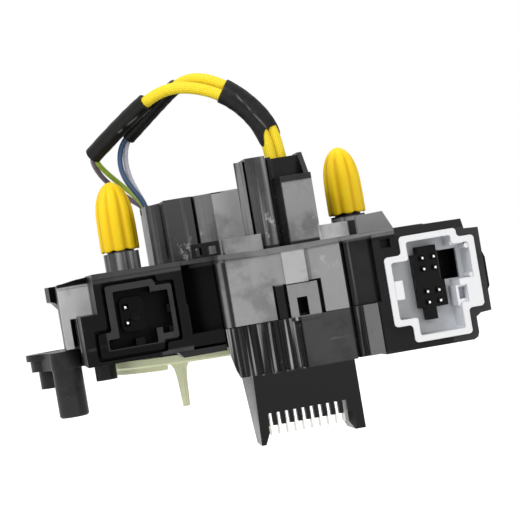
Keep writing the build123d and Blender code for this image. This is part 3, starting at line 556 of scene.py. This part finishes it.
smooth = cap.modifiers.new("smooth", "SUBSURF")
smooth.levels = smooth.render_levels = 2
bpy.ops.object.modifier_apply(modifier="smooth")
bpy.ops.object.shade_smooth()
# Each point's share of the grooves' painted shade.
groove_shade_of = cap.data.attributes.new("groove_shade", "FLOAT", "POINT")
for point, mark in zip(cap.data.vertices, groove_shade_of.data):
    place = cap.matrix_world @ point.co / MM
    fade = min(1.0, max(0.0, (GROOVE_END - place.z) / GROOVE_FADE))
    mark.value = fade * (0.5 + 0.5 * math.cos(FLUTES * off_valley(place, LEFT_PIN))) ** 5
deselect_all()
cap.select_set(True)
bpy.ops.object.duplicate()
other = bpy.context.active_object
bpy.ops.transform.translate(value=((RIGHT_PIN[0] - x) * MM, (RIGHT_PIN[1] - y) * MM, 0))
for boot, node in ((cap, "pin_cap_left"), (other, "pin_cap_right")):
    deselect_all()
    boot.select_set(True)
    bpy.context.view_layer.objects.active = boot
    named(node + "_boot", rubber.material, "rotor")
    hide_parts(node)


# LEADS
# Two stranded leads in woven yellow jackets come up out of the tower side by side, arch over
# the hub and end above its left side. Both are held at each end, so they keep their arch.

LEAD_D = 2.9
STRANDS = 8.0
TURNS_PER_MM = 1.15
FRONT_LEAD = [
    (8.5, -25.2, 33.5), (8.5, -25.2, 41.5), (7.35, -25.0, 49.7), (2.2, -24.2, 57.05),
    (-5.1, -23.4, 61.7), (-14.2, -21.3, 63.6), (-23.0, -14.2, 58.9), (-33.1, -4.0, 51.0),
]
REAR_LEAD = [
    (11.1, -23.8, 33.5), (11.1, -23.8, 41.5), (9.8, -23.5, 50.95), (3.8, -22.2, 59.2),
    (-3.55, -20.8, 64.3), (-9.7, -18.1, 65.0), (-17.0, -12.5, 59.5), (-23.85, -6.6, 54.0),
]

braid = Finish("woven yellow", Specular_IOR_Level=0.3)
wrap = braid.node("ShaderNodeUVMap", {"uv_map": "UVMap"}).outputs[0]
around = braid.reading("ShaderNodeSeparateXYZ", None, {0: wrap}, "X") * STRANDS
along = braid.reading("ShaderNodeSeparateXYZ", None, {0: wrap}, "Y") * TURNS_PER_MM
left_hand = ((around + along) * math.tau).maths("SINE")
right_hand = ((around - along) * math.tau).maths("SINE")
strand = (left_hand * right_hand) * 0.5 + 0.5
fuzz = braid.cloud(0.0008, 3.0, rough=0.7)
shade = (strand * 0.75 + fuzz * 0.5).maths("MULTIPLY", 1.0, clamp=True)
braid.colour(braid.blend(shade, (0.66, 0.45, 0.008, 1), (0.98, 0.78, 0.03, 1)))
braid.roughness(fuzz * 0.2 + 0.5)
braid.normal(braid.relief(strand + fuzz * 0.4, 0.00006))


def centreline(name, points):
    """The smooth line of a route, read from its own spline."""
    curve = bpy.data.curves.new(name, "CURVE")
    curve.dimensions = "3D"
    curve.resolution_u = 12
    spline = curve.splines.new("NURBS")
    spline.points.add(len(points) - 1)
    for point, (x, y, z) in zip(spline.points, points):
        point.co = (x * MM, y * MM, z * MM, 1)
    spline.order_u = 3
    spline.use_endpoint_u = True
    line = bpy.data.objects.new(name, curve)
    sampled = bpy.data.meshes.new_from_object(line)
    path = [v.co.copy() for v in sampled.vertices]
    bpy.data.meshes.remove(sampled)
    bpy.data.objects.remove(line)
    bpy.data.curves.remove(curve)
    return path


NEAR_ZERO = 1e-9


def lengths(path):
    """The length run up to each point of a path."""
    run = [0.0]
    for a, b in zip(path, path[1:]):
        run.append(run[-1] + (b - a).length)
    return run


def at_length(path, run, length):
    """The point of a path at a length from its start."""
    i = max(k for k in range(len(path) - 1) if run[k] <= length + NEAR_ZERO)
    return path[i].lerp(path[i + 1], min(1.0, (length - run[i]) / (run[i + 1] - run[i])))


def cut(path, start, end):
    """The part of a path between two lengths from its start, with its end points added."""
    run = lengths(path)
    inner = [p for p, r in zip(path, run) if start + 0.01 * MM < r < end - 0.01 * MM]
    return [at_length(path, run, start)] + inner + [at_length(path, run, end)]


def frames(path):
    """At each point of a path, two directions across it that don't twist along it."""
    across = []
    side = None
    for i, point in enumerate(path):
        on = (path[min(i + 1, len(path) - 1)] - path[max(i - 1, 0)]).normalized()
        if side is None:
            side = on.orthogonal().normalized()
        side = (side - on * side.dot(on)).normalized()
        across.append((side.copy(), on.cross(side)))
    return across


def round_tube(name, path, radii, sides=24):
    """A closed round mesh along a path, with the turn and the length in millimetres as its UVs.
    radii gives (index, radius) per ring, and a tube's bore comes after its outside."""
    across = frames(path)
    run = lengths(path)
    mesh = bmesh.new()
    layer = mesh.loops.layers.uv.new("UVMap")
    rings = []
    for index, radius in radii:
        side, up = across[index]
        ring = []
        for k in range(sides):
            angle = math.tau * k / sides
            out = side * math.cos(angle) + up * math.sin(angle)
            ring.append(mesh.verts.new(path[index] + out * radius))
        rings.append((ring, run[index]))
    for (lower, v0), (upper, v1) in zip(rings, rings[1:]):
        for k in range(sides):
            j = (k + 1) % sides
            face = mesh.faces.new((lower[k], lower[j], upper[j], upper[k]))
            corners = ((k, v0), (k + 1, v0), (k + 1, v1), (k, v1))
            for loop, (turn, length) in zip(face.loops, corners):
                loop[layer].uv = (turn / sides, length / MM)
    mesh.faces.new(list(reversed(rings[0][0])))
    mesh.faces.new(rings[-1][0])
    data = bpy.data.meshes.new(name)
    bmesh.ops.recalc_face_normals(mesh, faces=mesh.faces)
    mesh.to_mesh(data)
    mesh.free()
    piece = bpy.data.objects.new(name, data)
    bpy.context.scene.collection.objects.link(piece)
    deselect_all()
    piece.select_set(True)
    bpy.context.view_layer.objects.active = piece
    bpy.ops.object.shade_smooth_by_angle(angle=math.radians(40))
    return piece


front_path = centreline("front line", FRONT_LEAD)
rear_path = centreline("rear line", REAR_LEAD)
for node, path in (("front_lead", front_path), ("rear_lead", rear_path)):
    rings = [(i, LEAD_D / 2 * MM) for i in range(len(path))]
    lead = round_tube(node + "_jacket", path, rings)
    named(node + "_jacket", braid.material, "rotor")
    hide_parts(node)


# LEAD TAPE
# Black cloth tape wound round both leads where they leave the tower. It pulls in between
# them, and its turns overlap by half.

# Where the wrap starts and ends on each lead, in millimetres from the tower end of its path.
FRONT_TAPE = (14.5, 29.3)
REAR_TAPE = (15.0, 31.8)
TAPE_T = 0.4
TAPE_SIDES = 36
TAPE_RINGS = 30
LAP = 0.07
PINCH = 0.2
RIPPLE = 0.02
NEXT = 0.02
MOUTH_SHARE = 0.3
MOUTH_RISE, LEFT_DROP, RIGHT_DROP = 1.1, 3.6, 2.6


def fold_highlight(finish, start, end, half):
    """A painted highlight along a fold on the front, broken into patches, along a line given by the X
    and Z of its ends.
    """
    run = math.dist(start, end)
    across = [(end[1] - start[1]) / run, (start[0] - end[0]) / run]
    off = finish.axis("X") * across[0] + finish.axis("Z") * across[1]
    middle = (start[0] * across[0] + start[1] * across[1]) * MM
    near = finish.step((off - middle).maths("ABSOLUTE"), half * MM, 0.3 * half * MM)
    low, high = sorted((start[0], end[0]))
    wear_and_sheen = finish.step(finish.cloud(0.003, 2.0), 0.38, 0.6)
    return near * finish.zone((low, None, None), (high, None, None)) * wear_and_sheen


cloth = Finish("tape black", Specular_IOR_Level=0.14)
nap = cloth.cloud(0.0006, 3.0, rough=0.7)
turns = cloth.cloud(0.0022, 3.0)
black_cloth = cloth.blend(turns, (0.003, 0.003, 0.003, 1), (0.02, 0.019, 0.019, 1))
# A painted highlight along the tape's fold between the leads.
tape_fold_highlight = fold_highlight(cloth, (2.5, 58.5), (8.2, 49.6), 0.4)
cloth.colour(cloth.blend(tape_fold_highlight, black_cloth, (0.11, 0.108, 0.11, 1)))
cloth.roughness(nap * 0.25 + 0.32)
cloth.normal(cloth.relief(nap * 0.35 + turns, 0.0002))

front_run = cut(front_path, FRONT_TAPE[0] * MM, FRONT_TAPE[1] * MM)
rear_run = cut(rear_path, REAR_TAPE[0] * MM, REAR_TAPE[1] * MM)


def settle(piece):
    """Merges doubles and turns every face outward."""
    mesh = bmesh.new()
    mesh.from_mesh(piece.data)
    bmesh.ops.remove_doubles(mesh, verts=mesh.verts, dist=1e-6)
    bmesh.ops.recalc_face_normals(mesh, faces=mesh.faces)
    mesh.to_mesh(piece.data)
    mesh.free()


def along_run(path, share):
    """The point at a share of a path's length."""
    return at_length(path, lengths(path), share * lengths(path)[-1])


def tape_ring(mesh, share, thick):
    """One outline of the wrap: a long loop round both leads, pinched in its middle."""
    a, b = along_run(front_run, share), along_run(rear_run, share)
    ahead = along_run(front_run, min(1, share + NEXT)) - along_run(front_run, max(0, share - NEXT))
    on = ahead.normalized()
    wide = b - a
    wide -= on * wide.dot(on)
    half = wide.length / 2
    wide.normalize()
    deep = on.cross(wide)
    centre = (a + b) / 2
    radius = (LEAD_D / 2 + thick) * MM
    ring = []
    for k in range(TAPE_SIDES):
        angle = math.tau * k / TAPE_SIDES
        off_middle = max(-1.0, min(1.0, 1.5 * math.cos(angle)))
        x = half * off_middle + radius * math.cos(angle)
        pinch = 1 - PINCH * math.exp(-(x / (0.9 * MM)) ** 2)
        waves = math.sin(9 * angle + 31 * share) + math.sin(5 * angle - 47 * share)
        ripple = 1 + RIPPLE * waves
        y = radius * math.sin(angle) * pinch * ripple
        left = max(0.0, -math.cos(angle) - 0.35) / 0.65
        right = max(0.0, math.cos(angle) - 0.8) / 0.2
        near_mouth = max(0.0, 1 - share / MOUTH_SHARE)
        slant = on * ((MOUTH_RISE - LEFT_DROP * left ** 1.4 - RIGHT_DROP * right) * MM * near_mouth)
        ring.append(mesh.verts.new(centre + wide * x + deep * y + slant))
    return ring


mesh = bmesh.new()
rings = [tape_ring(mesh, 0.02, 0.05), tape_ring(mesh, 0.0, 0.1), tape_ring(mesh, 0.0, TAPE_T)]
for i in range(1, TAPE_RINGS):
    lap = LAP * ((i % 6) / 6)
    rings.append(tape_ring(mesh, i / TAPE_RINGS, TAPE_T + lap))
rings += [tape_ring(mesh, 1.0, TAPE_T), tape_ring(mesh, 1.0, 0.1), tape_ring(mesh, 0.98, 0.05)]
for lower, upper in zip(rings, rings[1:]):
    for k in range(TAPE_SIDES):
        j = (k + 1) % TAPE_SIDES
        mesh.faces.new((lower[k], lower[j], upper[j], upper[k]))
mesh.faces.new(list(reversed(rings[0])))
mesh.faces.new(rings[-1])
data = bpy.data.meshes.new("lead_tape_wrap")
mesh.to_mesh(data)
mesh.free()
tape = bpy.data.objects.new("lead_tape_wrap", data)
bpy.context.scene.collection.objects.link(tape)
deselect_all()
tape.select_set(True)
bpy.context.view_layer.objects.active = tape
settle(tape)
soften = tape.modifiers.new("soften", "SUBSURF")
soften.levels = soften.render_levels = 1
bpy.ops.object.modifier_apply(modifier="soften")
bpy.ops.object.shade_smooth()
named("lead_tape_wrap", cloth.material, "rotor")
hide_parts("lead_tape")


# LEAD SLEEVES
# Black rubber tube pushed over the end of each lead, cut square, with the thin wires coming
# out of its open mouth.

BORE_GAP = 0.06
SLEEVE_LIP = 0.12
SLEEVE_WAVE = 0.04
# Path, outer radius and length of each sleeve.
SLEEVES = {
    "front_sleeve": (front_path, 2.25, 21.8),
    "rear_sleeve": (rear_path, 1.95, 19.5),
}

tubing = Finish("sleeve black", Specular_IOR_Level=0.14)
smear = tubing.cloud(0.003, 3.0)
black_tube = tubing.blend(smear, (0.003, 0.003, 0.003, 1), (0.016, 0.016, 0.015, 1))
# A painted highlight along the front sleeve's fold.
sleeve_fold_highlight = fold_highlight(tubing, (-21.0, 58.2), (-26.8, 54.9), 0.3)
tubing.colour(tubing.blend(sleeve_fold_highlight, black_tube, (0.12, 0.12, 0.12, 1)))
tubing.roughness(smear * 0.25 + 0.28)
tubing.normal(tubing.relief(smear, 0.00015))

sleeves = {}
for node, (path, radius, length) in SLEEVES.items():
    total = lengths(path)[-1]
    stretch = cut(path, total - length * MM, total)
    last = len(stretch) - 1
    outer = [(i, (radius + SLEEVE_WAVE * math.sin(2.3 * i)) * MM) for i in range(last + 1)]
    bore = (LEAD_D / 2 + BORE_GAP) * MM
    rings = [(0, bore), (0, (radius - SLEEVE_LIP) * MM)] + outer[1:-1]
    rings += [(last, radius * MM), (last, bore), (last - 1, bore)]
    sleeve = round_tube(node + "_tube", stretch, rings, sides=32)
    named(node + "_tube", tubing.material, "rotor")
    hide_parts(node)
    sleeves[node] = sleeve


# LEAD WIRES
# Four thin wires leave the sleeves in pairs and drop into the box on the hub, where they
# meet the flat cable. Their insulation is plain extruded plastic.

WIRE_D = 1.35
WIRE_SHADE = 0.72
WIRES = {
    "green_wire": ((0.34, 0.5, 0.06), [
        (-32.3, -4.3, 50.7), (-32.6, -3.2, 49.6), (-31.5, -1.2, 47.8), (-29.4, 1.0, 45.4),
        (-26.9, 2.6, 42.8), (-24.0, 1.8, 39.4), (-21.9, -0.6, 36.0), (-21.9, -0.6, 31.5),
    ]),
    "violet_wire": ((0.16, 0.13, 0.2), [
        (-33.0, -4.7, 51.2), (-33.6, -3.4, 50.2), (-33.0, -1.2, 47.9), (-31.2, 1.8, 45.0),
        (-28.2, 4.2, 41.8), (-24.8, 3.4, 38.4), (-21.9, 0.9, 35.8), (-21.9, 0.9, 31.5),
    ]),
    "blue_wire": ((0.035, 0.085, 0.19), [
        (-23.85, -7.4, 54.41), (-25.3, -6.4, 52.9), (-26.5, -5.8, 50.6), (-27.0, -5.3, 47.2),
        (-26.3, -4.95, 43.6), (-24.3, -4.7, 40.2), (-21.9, -4.4, 36.0), (-21.9, -4.4, 31.5),
    ]),
    "white_wire": ((0.62, 0.62, 0.7), [
        (-23.1, -6.27, 54.41), (-24.2, -5.2, 52.9), (-25.1, -4.5, 50.4), (-25.4, -3.9, 47.2),
        (-24.9, -3.5, 43.6), (-23.6, -3.2, 40.0), (-21.9, -2.9, 35.9), (-21.9, -2.9, 31.5),
    ]),
}
wires = {}
for node, (tint, points) in WIRES.items():
    cover = Finish(node.replace("_", " "), Specular_IOR_Level=0.45)
    drift = cover.cloud(0.0025, 3.0)
    dark = tuple(c * WIRE_SHADE for c in tint) + (1,)
    cover.colour(cover.blend(drift, dark, tint + (1,)))
    cover.roughness(drift * 0.2 + 0.3)
    path = centreline(node, points)
    rings = [(i, WIRE_D / 2 * MM) for i in range(len(path))]
    wire = round_tube(node + "_core", path, rings, sides=16)
    named(node + "_core", cover.material, "rotor")
    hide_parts(node)
    wires[node] = wire

for node, path, sleeve, pair in (
    ("front_lead", front_path, "front_sleeve", ("green_wire", "violet_wire")),
    ("rear_lead", rear_path, "rear_sleeve", ("blue_wire", "white_wire")),
):
    others = [sleeves[sleeve]] + [wires[w] for w in pair]
    if node == "front_lead":
        others.append(tape)
    round(lengths(path)[-1], 4)


# STUDIO
# A pale floor under the part, soft lamps above and to the left, and the camera level with
# the sockets, rolled so that the part hangs as it does in the photograph.

FLOOR_Z = -60 * MM
FLOOR_LIFT = 0.56
SKY_LIGHT = 0.62
bpy.ops.mesh.primitive_plane_add(size=8, location=(0, 0, FLOOR_Z))
floor = bpy.context.active_object
floor.name = "floor"
paper = Finish("paper", Specular_IOR_Level=0.0, Roughness=1.0)
paper.shader.inputs["Base Color"].default_value = (0.9, 0.9, 0.9, 1)
direct, glossy, through = paper.rays_shown()
shown = direct + glossy + through
glow = {"Color": (1, 1, 1, 1), "Strength": shown * FLOOR_LIFT}
lift = paper.node("ShaderNodeEmission", None, glow)
both = paper.node("ShaderNodeAddShader", None, {0: paper.shader.outputs[0], 1: lift.outputs[0]})
paper.tree.links.new(both.outputs[0], paper.tree.nodes["Material Output"].inputs["Surface"])
floor.data.materials.append(paper.material)

world = bpy.data.worlds.new("studio")
bpy.context.scene.world = world
world.use_nodes = True
sky = Graph(world.node_tree)
direct, glossy, through = sky.rays_shown()
shown = direct.maths("MAXIMUM", glossy).maths("MAXIMUM", through)
backdrop = sky.tree.nodes["Background"]
backdrop.inputs["Color"].default_value = (1, 1, 1, 1)
sky.tree.links.new((shown * (1 - SKY_LIGHT) + SKY_LIGHT).socket, backdrop.inputs["Strength"])

# Name, place, size and power of each lamp.
LAMPS = [
    ("key", (-0.5, -0.6, 0.6), 0.5, 4.1),
    ("fill", (0.25, -0.8, 0.1), 0.5, 1.4),
    ("top", (0.1, 0.1, 0.9), 0.7, 2.7),
]
AIMED_AT = Vector((0, 0, 0.02))
for name, place, size, power in LAMPS:
    lamp = bpy.data.lights.new(name, "AREA")
    lamp.shape = "DISK"
    lamp.size = size
    lamp.energy = power
    holder = bpy.data.objects.new(name, lamp)
    holder.location = place
    aim = AIMED_AT - Vector(place)
    holder.rotation_euler = aim.to_track_quat("-Z", "Y").to_euler()
    bpy.context.scene.collection.objects.link(holder)

AZIMUTH, ROLL = math.radians(-8), math.radians(9.6)
DISTANCE, SIDE, HEIGHT = 0.5, 0.004887, 0.0179
back = Vector((math.sin(AZIMUTH), -math.cos(AZIMUTH), 0))
right = Vector((math.cos(AZIMUTH), math.sin(AZIMUTH), 0))
camera = bpy.data.objects.new("camera", bpy.data.cameras.new("camera"))
bpy.context.scene.collection.objects.link(camera)
bpy.context.scene.camera = camera
camera.data.sensor_width, camera.data.lens = 36, 134.6
turned = Matrix((right, Vector((0, 0, 1)), back)).transposed() @ Matrix.Rotation(-ROLL, 3, "Z")
stand = back * DISTANCE + right * SIDE + Vector((0, 0, HEIGHT))
camera.matrix_world = Matrix.Translation(stand) @ turned.to_4x4()
camera.data.clip_start = 0.01

bpy.context.scene.view_settings.view_transform = "Standard"
